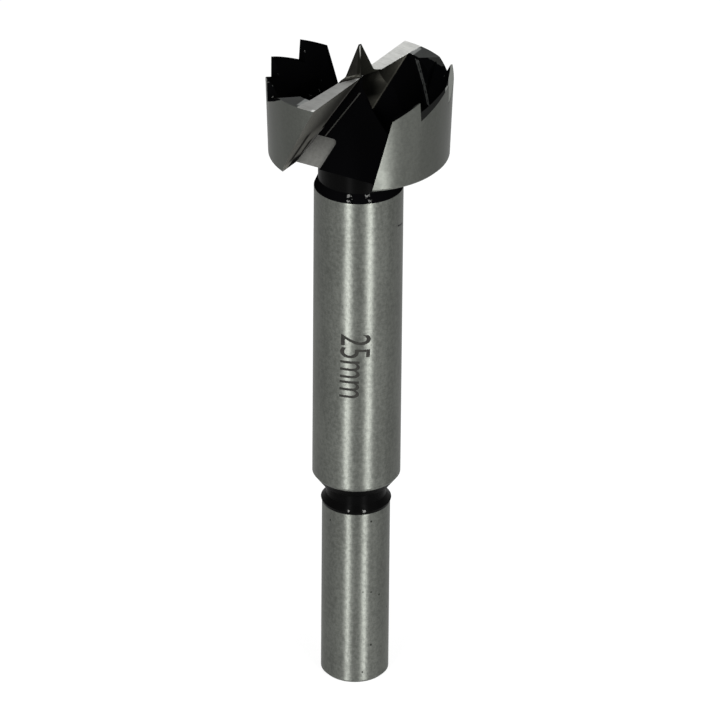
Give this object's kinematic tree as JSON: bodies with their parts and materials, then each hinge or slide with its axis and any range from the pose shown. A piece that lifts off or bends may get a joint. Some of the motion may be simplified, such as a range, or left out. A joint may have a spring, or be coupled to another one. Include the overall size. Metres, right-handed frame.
{
  "type": "forstner bit",
  "caption": "Saw-tooth forstner drill bit: cylindrical head with toothed rim, radial cutting blades and centre point, on a stepped round shank.",
  "frame": {"origin": "centre of the flat end of the shank", "axes": "+Z along the bit's axis from the shank's end to the centre point, +Y away from the viewer of the picture, +X to the right"},
  "size_m": [0.025, 0.024, 0.0951],
  "materials": {
    "tool_steel": "ground bright on the wall, lands, body and shank, black oxide in the flutes and gullets"
  },
  "bodies": {
    "root": {"forstner_bit": "tool_steel"}
  },
  "joints": []
}
